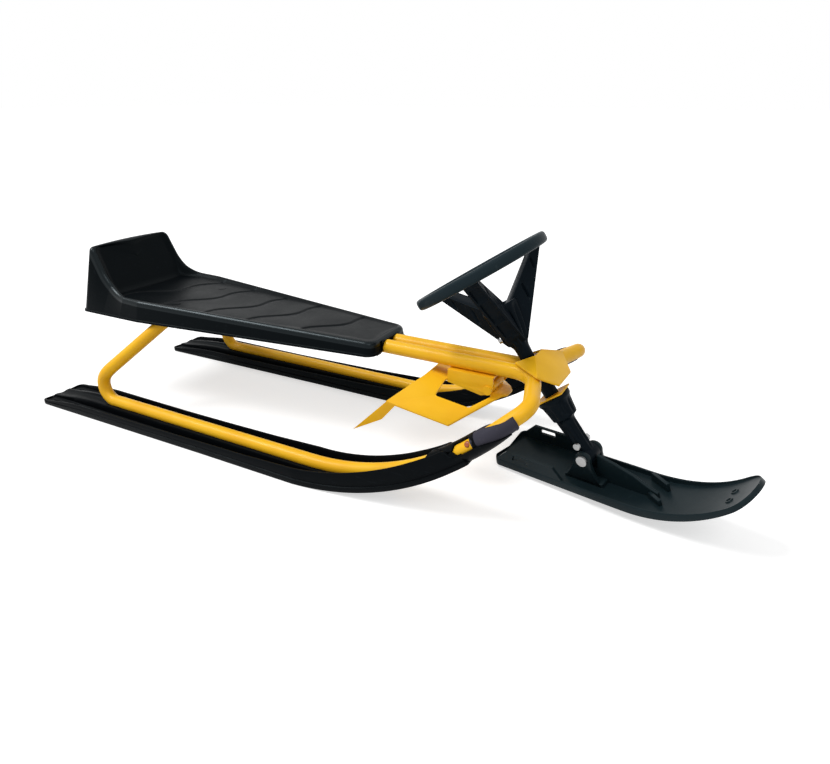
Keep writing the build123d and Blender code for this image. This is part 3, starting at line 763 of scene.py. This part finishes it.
def dome(centre, axis, radius, high):
    """A rivet's head: a round cap a quarter of an ellipse high."""
    across, third = crossing(axis)
    turn = np.linspace(0, 2 * pi, 20, endpoint=False)
    rise = np.linspace(0, 0.97 * pi / 2, 7)[:, None, None]
    ring = np.cos(turn)[:, None] * across + np.sin(turn)[:, None] * third
    grid = np.array(centre) + radius * np.cos(rise) * ring + high * np.sin(rise) * axis
    return capped(grid)


red_paint = Finish("red_painted_rivet", Roughness=0.35)
red_cloud = red_paint.speckle(2 * mm).above(0.4, 0.6)
red_paint.sets("Base Color", red_paint.between(red_cloud, (0.30, 0.055, 0.012), (0.42, 0.10, 0.02)))
red_paint.bumped(red_paint.speckle(0.8 * mm), 0.03 * mm)
rivet_x, rivet_out, rivet_r, rivet_high = 259, 10.6, 4.4, 2.6
for side, name in both_sides:
    piece_of("nose_sleeve_" + name + "_finished", [nose_sleeve(side)], grey_plastic, "frame",
             ["nose_sleeve_" + name], 45)
    path = nose_path(side)
    spot = path[np.abs(path[:, 0] - rivet_x).argmin()]
    away = unit(np.array([-0.25, side * 0.80, 0.45]))
    head = dome(spot + away * rivet_out, away, rivet_r, rivet_high)
    piece_of("nose_rivet_" + name, [head], red_paint.material, "frame")


# Steering wheel
# Ring, three deep channel-shaped spokes and a fluted hub, moulded in one from black plastic. A boss
# runs down the steel column to the head, and a clamp bolt crosses it.
head_point = np.array([316.0, 0.0, 139.0])
rake = radians(38.0)
turned = radians(-17.0)
axis_up = np.array([-sin(rake), 0.0, cos(rake)])
axis_fore = np.array([cos(rake), 0.0, sin(rake)])
steer_fore = axis_fore * cos(turned) + np.array([0, 1.0, 0]) * sin(turned)
steer_left = np.cross(axis_up, steer_fore)
hub_z = 84.0
wheel_tilt = radians(5.0)


def on_column(points):
    """From fore, left and up along the turned steering axis to the sled's frame."""
    points = np.asarray(points, float)
    frame_of_column = np.stack([steer_fore, steer_left, axis_up])
    return head_point + points @ frame_of_column


def on_wheel(points):
    """From the wheel's own fore, left and up: its axis leans a little on the column's."""
    x, y, z = np.moveaxis(np.asarray(points, float), -1, 0)
    fore = x * cos(wheel_tilt) + z * sin(wheel_tilt)
    up = -x * sin(wheel_tilt) + z * cos(wheel_tilt)
    return on_column(np.stack([fore, y, up + hub_z], -1))


def turned_profile(profile, count, flutes, flute_depth, flute_span):
    """A profile of (radius, height) turned about the axis. Flutes are hollows cos-shaped round it,
    deepest at the middle of their span of heights and shut at its ends."""
    profile = np.array(profile, float)
    angle = np.linspace(0, 2 * pi, count, endpoint=False)
    share = np.clip((profile[:, 1] - flute_span[0]) / (flute_span[1] - flute_span[0]), 0, 1)
    cut = flute_depth * np.sqrt(np.sin(pi * share))[:, None] * (0.5 + 0.5 * np.cos(flutes * angle)) ** 1.5
    r = profile[:, :1] - cut * (share > 0)[:, None] * (share < 1)[:, None]
    high = np.broadcast_to(profile[:, 1:], r.shape)
    return np.stack([r * np.cos(angle), r * np.sin(angle), high], -1)


ring_r, ring_up = 94.0, 122.0
ring_half_wide, ring_half_high = 7.5, 8.0


def wheel_ring():
    """A ring whose section is a circle pressed square: its sine and cosine are raised to a power."""
    u = np.linspace(0, 2 * pi, 144, endpoint=False)[:, None]
    v = np.linspace(0, 2 * pi, 36, endpoint=False)[None]
    power = 2 / 3.2
    r = ring_r + ring_half_wide * np.sign(np.cos(v)) * np.abs(np.cos(v)) ** power
    high = ring_up + ring_half_high * np.sign(np.sin(v)) * np.abs(np.sin(v)) ** power
    grid = np.stack([r * np.cos(u), r * np.sin(u), high + 0 * u], -1)
    return gridded(on_wheel(grid), ring_rows=True, ring_columns=True)


# A spoke at the hub and at the ring: its top, its lower edge and its half width.
spoke_top, spoke_low, spoke_half = (62, 127.5), (7, 116.5), (12.5, 10.5)
spoke_start_r, flange, rib_shares, rib_t = 11, 3.2, (0.36, 0.70), 0.025


def spoke(angle):
    """A tapering channel from the hub out to the ring, sloping up all the way. Across it the section is a
    web between two flanges; two ribs cross the web, and each flank has a nick beside each rib."""
    t = np.linspace(0, 1, 120)
    r = spoke_start_r + (ring_r - spoke_start_r) * t
    top, low, half = (first + (last - first) * t for first, last in (spoke_top, spoke_low, spoke_half))
    rib = sum(np.exp(-((t - share) / rib_t) ** 2) for share in rib_shares)
    sunk = 6.5 * smooth((t - 0.10) / 0.08) * smooth((0.93 - t) / 0.05)
    sunk = np.minimum(sunk * (1 - 0.85 * rib), (top - low) * 0.62)
    nick = 3.0 * rib
    deep, tall = low + sunk, top - low
    flank = np.stack([
        half, half, half - nick, half - nick, half, half, half - 1, half - flange, half - flange - 1.2,
    ], 1)
    flank_z = np.stack([
        top, top - 0.14 * tall, top - 0.22 * tall, low + 0.30 * tall, low + 0.22 * tall, low + 1, low, low,
        deep,
    ], 1)
    upper_y = np.stack([half - 1, 0.3 * half, -0.3 * half, -half + 1], 1)
    upper_z = np.stack([top + 0.8, top + 1.2, top + 1.2, top + 0.8], 1)
    y = np.concatenate([-flank, flank[:, ::-1], upper_y], 1)
    z = np.concatenate([flank_z, flank_z[:, ::-1], upper_z], 1)
    x = np.broadcast_to(r[:, None], y.shape)
    grid = np.stack([x * cos(angle) - y * sin(angle), x * sin(angle) + y * cos(angle), z], -1)
    return capped(on_wheel(grid))


funnel = [
    (9.5, -21.0), (10.4, -20.4), (10.7, -6), (11.0, -1), (12.2, 3), (14.2, 7), (16.4, 11), (18.0, 15),
    (19.2, 19), (20.2, 23), (21.3, 28), (22.3, 33), (23.2, 38), (24.0, 43), (24.8, 48), (25.6, 53),
    (26.4, 58), (27.0, 62), (27.4, 65), (26.6, 66.8), (24.6, 67.2), (22, 64), (15, 62), (8, 61.6),
]
hub_skin = turned_profile(funnel, 144, 12, 4.2, (5, 63))
wheel_plastic = moulded_black(
    "black_wheel_plastic", (0.0030, 0.0055, 0.0085), (0.011, 0.016, 0.022), 0.24, 0.9 * mm
)
# A paler, rougher copy of the wheel plastic for the ring; its extra paleness is painted light.
ring_painted_light_plastic = moulded_black(
    "wheel_ring_painted_light_plastic", (0.014, 0.023, 0.028), (0.026, 0.038, 0.044), 0.30, 0.9 * mm
)
wheel_parts = [capped(on_wheel(hub_skin))]
wheel_parts += [spoke(radians(60 + 120 * k)) for k in range(3)]
piece_of("steering_wheel_finished", wheel_parts, wheel_plastic, "steering",
         ["steering_wheel"])
# The ring looks paler than the spokes because its round section catches more light, so it is a mesh of its
# own with a paler copy of the wheel plastic: painted light.
piece_of("steering_wheel_ring", [wheel_ring()], ring_painted_light_plastic, "steering")
clamp_turn, clamp_r, clamp_z = radians(222), 18.6, 107
clamp_way = np.array([cos(clamp_turn), sin(clamp_turn), 0])
clamp_foot = on_column(clamp_way * clamp_r + (0, 0, clamp_z))
clamp = [bolt(clamp_foot, on_column(clamp_way) - on_column((0, 0, 0)), 4.4, 4, washer=5.6)]
piece_of("wheel_clamp_bolt", clamp, zinc, "steering")


# Cone and stem
# Under the head a black plastic cone carries the turning load, and its fluted stem ends in an eye
# between the ski's ears. The column's lower end sits inside it, held by a crossing bolt.
ski_pivot = -99.0
cone = [
    (7.6, -0.5), (23.6, -0.5), (24.8, -1.2), (25.0, -3), (24.6, -6), (23.4, -8), (22.6, -9), (21.8, -13),
    (21.0, -18), (20.2, -23), (19.6, -28), (19.1, -32), (18.4, -34.4), (15.5, -36), (12.6, -38),
    (11.6, -40), *((11.5, high) for high in range(-44, -81, -6)), (11.4, -86), (11.2, -91), (10.6, -95),
    (8, -99),
]
cone_foot = -34
on_stem = turned_profile(cone, 96, 8, 1.8, (-92, -40))
on_cone = turned_profile(cone, 96, 12, 2.0, (-33, -9))
skin = np.where((np.array(cone)[:, 1] > cone_foot)[:, None, None], on_cone, on_stem)
fork_parts = [capped(on_column(skin))]


def slab(outline, half):
    """A flat plate with this outline in fore and up, half its thickness each way, and rounded rims."""
    rounding = 1.0
    outline = np.array(outline, float)
    middle = outline.mean(0)
    into = unit(middle - outline)
    rows = []
    for off, inset in ((-half, rounding), (-half + 0.3 * rounding, 0.3 * rounding), (-half + rounding, 0),
                       (half - rounding, 0), (half - 0.3 * rounding, 0.3 * rounding), (half, rounding)):
        ring = outline + into * inset
        rows.append(np.stack([ring[:, 0], np.full(len(ring), off), ring[:, 1]], -1))
    return np.stack(rows)


def round_outline(centre, radius, start, stop, count):
    """An arc's points, from one angle to another in degrees."""
    angle = np.radians(np.linspace(start, stop, count))
    return np.stack([centre[0] + radius * np.cos(angle), centre[1] + radius * np.sin(angle)], -1)


eye_r = 12.0
eye = slab(round_outline((0, ski_pivot), eye_r, 0, 345, 24), 12.5)
web = slab([(-2, -33), (-18.4, cone_foot), (-18.2, -40), (-16.4, -62), (-15, -74), (-2, -74)], 4.5)
fork_parts += [capped(on_column(eye)), capped(on_column(web))]
piece_of("steering_fork_finished", fork_parts, wheel_plastic, "steering", ["steering_fork"])
for node in ("steering_column", "ski_bolt", "stem_bolt"):
    dressed(node, zinc)
dressed("brake_pin", yellow)
dressed("head_sleeve", wheel_plastic)


# Front ski
# A black plastic blade with a curled tip, an upstanding rim, side walls beside its tail, a tall
# middle rib, two oblique bars, and a mount whose two ears hold the stem's eye on a bolt.
ski_tipped = radians(33.9)
ski_fore = steer_fore * cos(ski_tipped) - axis_up * sin(ski_tipped)
ski_up = np.cross(ski_fore, steer_left)
ski_centre = on_column((0, 0, ski_pivot))
sole = -43.0
ski_flat, curl_r, curl_turn = 73.0, 194.0, radians(53.3)
ski_tail = -141.0
ski_reach = ski_flat + curl_r * curl_turn
tip_round, tail_round = 34.0, 9.0
blade_t = 5.0


def on_ski(points):
    """From the ski's own fore, left and up, measured from its bolt, to the sled's frame."""
    return ski_centre + np.asarray(points, float) @ np.stack([ski_fore, steer_left, ski_up])


def along_ski(along, y, height):
    """A point of the ski by its distance along the sole, its side, and its height above the sole."""
    angle = np.maximum(along - ski_flat, 0) / curl_r
    r = curl_r - height
    x = np.where(along < ski_flat, along, ski_flat + r * np.sin(angle))
    z = np.where(along < ski_flat, sole + height, sole + curl_r - r * np.cos(angle))
    return on_ski(np.stack(np.broadcast_arrays(x, y, z), -1))


def ski_half_width(along):
    """Half the ski's width: full at the tail, drawn in from the curl on, rounded off at both ends."""
    half = 43 - 8.5 * smooth((along - 40) / (ski_reach - 40)) ** 1.3
    tip = np.clip((along - (ski_reach - tip_round)) / tip_round, 0, 1)
    half = half - tip_round + tip_round * np.sqrt(np.clip(1 - tip ** 2, 0, 1))
    tail = np.clip((ski_tail + tail_round - along) / tail_round, 0, 1)
    return half - tail_round + tail_round * np.sqrt(np.clip(1 - tail ** 2, 0, 1))


def ski_blade():
    """The blade's section carried along the sole: its rim from outside over the top and in, then its
    upper face to the middle, and the same mirrored. The rim is lower along the curl."""
    tail = ski_tail + np.array([0, 0.15, 0.6, 1.4, 2.6, 4.2, 6.3, tail_round])
    tip = ski_reach - tip_round + tip_round * np.sin(np.linspace(0, pi / 2, 22))
    along = np.concatenate([tail, np.linspace(ski_tail + 12, ski_reach - 37, 96), tip])[:, None]
    half = ski_half_width(along)
    rim = 13 - 6 * smooth((along - ski_flat) / (ski_reach - ski_flat))
    inwards = np.array([-0.2, 0, 0, -0.5, -1.6, -3.4, -4.6, -5.0, -5.6, -7.4])
    rim_shares = np.array([0, 0.12, 0.78, 0.93, 1.0, 1.0, 0.93])
    level = np.ones_like(rim)
    rim_foot = [np.maximum(rim * 0.62, 5.6), (blade_t + 0.2) * level, blade_t * level]
    up = np.concatenate([rim * rim_shares, *rim_foot], 1)
    side_y = np.maximum(half + inwards, half * (1 + inwards / 60))
    side_y = np.maximum(side_y, 0.2)
    fan = np.linspace(1, 0, 9)[1:]
    top_y = side_y[:, -1:] * fan
    top_up = np.full(top_y.shape, blade_t)
    left = np.concatenate([side_y, top_y], 1)
    left_up = np.concatenate([up, top_up], 1)
    loop_y = np.concatenate([left, -left[:, ::-1][:, 1:]], 1)
    loop_up = np.concatenate([left_up, left_up[:, ::-1][:, 1:]], 1)
    return capped(along_ski(along, loop_y, loop_up))


# The wall beside the tail and the slot through it, in side view: (along, height above the sole).
wall_outline = [(-135, 5), (-135, 13), (-117, 30), (-76, 30), (-36, 30), (-22, 13), (-22, 5), (-78, 5)]
wall_slot = [(-106, 19), (-106, 21), (-103, 28), (-80, 28), (-79, 26), (-79, 21), (-82, 19), (-92, 19)]
wall_out, wall_in = 42.6, 37.8


def spread(corners, count=64):
    """Points spread round a closed outline, as many on each edge."""
    closed = np.array(corners + corners[:1], float)
    places = np.linspace(0, len(corners), count, endpoint=False)
    return np.stack([np.interp(places, np.arange(len(closed)), closed[:, k]) for k in (0, 1)], -1)


def ski_wall(side):
    """A side wall beside the tail, with a long slot through it: an upright band bent round the slot."""
    outer, slot = spread(wall_outline), spread(wall_slot)
    faces = ((slot, wall_out), (outer, wall_out), (outer, wall_in), (slot, wall_in))
    grid = np.stack([along_ski(ring[:, 0], side * y, ring[:, 1]) for ring, y in faces])
    return gridded(grid, ring_rows=True, ring_columns=True)


def ski_block(ring, low, high):
    """A block on the blade: its plan ring (fore, left), from one height above the sole to another,
    its top edge rounded."""
    inset = 0.8
    ring = np.array(ring, float)
    into = unit(ring.mean(0) - ring)
    rows = [along_ski(ring[:, 0], ring[:, 1], low)]
    for inwards, down in ((0, 1), (0.4, 0.3), (1.2, 0)):
        near = ring + into * inset * inwards
        rows.append(along_ski(near[:, 0], near[:, 1], high - inset * down))
    return capped(np.stack(rows))


# The middle rib's top: (along, height above the sole). Its section: (left, drop below the top).
keel_tops = [(14, 47), (38, 41), (67, 31.5), (105, 12.5)]
keel_section = [(-2.6, 40), (-2.6, 1), (-1.8, 0.2), (1.8, 0.2), (2.6, 1), (2.6, 40)]
keel_foot = 4.0


def keel():
    """The tall middle rib, whose top falls forward from the mount. Its foot is sunk in the blade."""
    x = np.linspace(keel_tops[0][0], keel_tops[-1][0], 30)
    high = np.interp(x, *zip(*keel_tops))
    rows = [along_ski(x, off, np.maximum(high - drop, keel_foot)) for off, drop in keel_section]
    return capped(np.stack(rows, 1))


def ear_outline():
    """Side view of an ear: round over the bolt, with a hollow curved front edge down to its foot."""
    s = np.linspace(0, 1, 10)[:, None]
    start, bend, end = np.array([12.0, -2.0]), np.array([13.5, -20.0]), np.array([29.0, -38.0])
    front = (1 - s) ** 2 * start + 2 * s * (1 - s) * bend + s ** 2 * end
    back = np.array([(-29.0, -38.0), (-21, -24), (-12.5, -2.0)])
    return np.concatenate([round_outline((0, 0), eye_r, 170, 10, 16), front, back])


def drilled(part, holes):
    """A closed part with holes cut through it."""
    made = []
    for name, (points, faces) in (("blank", part), ("drill", holes)):
        mesh = bpy.data.meshes.new(name)
        mesh.from_pydata(np.asarray(points).tolist(), [], outwards(np.asarray(points), faces))
        made.append(bpy.data.objects.new(name, mesh))
        bpy.context.scene.collection.objects.link(made[-1])
    cut = made[0].modifiers.new("holes", "BOOLEAN")
    cut.operation = "DIFFERENCE"
    cut.solver = "EXACT"
    cut.object = made[1]
    done = bpy.data.meshes.new_from_object(made[0].evaluated_get(bpy.context.evaluated_depsgraph_get()))
    points = np.array([vertex.co[:] for vertex in done.vertices])
    faces = [list(face.vertices) for face in done.polygons]
    for each in made:
        bpy.data.objects.remove(each)
    return points, faces


rope_along = ski_flat + curl_r * (curl_turn - radians(13.0))
rope_holes_y = (-10, 10)
rope_r = 3.0
turn_round = np.linspace(0, 2 * pi, 24, endpoint=False)


def rope_ring(y, profile):
    """Rings about a rope hole's middle line: each of (radius, height above the sole)."""
    return np.stack([along_ski(rope_along + r * np.cos(turn_round), y + r * np.sin(turn_round), h)
                     for r, h in profile])


blade = ski_blade()
for y in rope_holes_y:
    blade = drilled(blade, capped(rope_ring(y, [(rope_r, -4), (rope_r, 12)])))
collar = [(rope_r, 4.6), (rope_r, 5.9), (3.5, 6.5), (4.6, 6.5), (5.2, 5.9), (5.4, 4.6)]
ski_parts = [blade, keel()]
ski_parts += [gridded(rope_ring(y, collar), ring_rows=True, ring_columns=True) for y in rope_holes_y]
ski_parts += [ski_wall(side) for side in (-1, 1)]
ears_y, ear_half = (-16, 16), 3.0
ski_parts += [capped(on_ski(slab(ear_outline(), ear_half) + (0, y, 0))) for y in ears_y]
mount_foot = [(-29, -19), (-29, 19), (30, 19), (30, -19)]
ski_parts.append(ski_block(mount_foot, 3, 10.2))
bar_half = 2.6
# The two oblique bars: (fore, left) of each end, and the height above the sole.
for start, stop, high in (((80, 35), (112, 17), 17.0), ((93, -3.5), (115, -17), 13.5)):
    start, stop = np.array(start), np.array(stop)
    aside = bar_half * unit(np.array([start[1] - stop[1], stop[0] - start[0]]))
    ski_parts.append(ski_block([start - aside, stop - aside, stop + aside, start + aside], 4, high))
ski_plastic = moulded_black(
    "black_ski_plastic", (0.0060, 0.0122, 0.0150), (0.012, 0.022, 0.026), 0.22, 1.0 * mm, gloss=0.13
)
piece_of("front_ski_finished", ski_parts, ski_plastic, "front_ski", ["front_ski"])
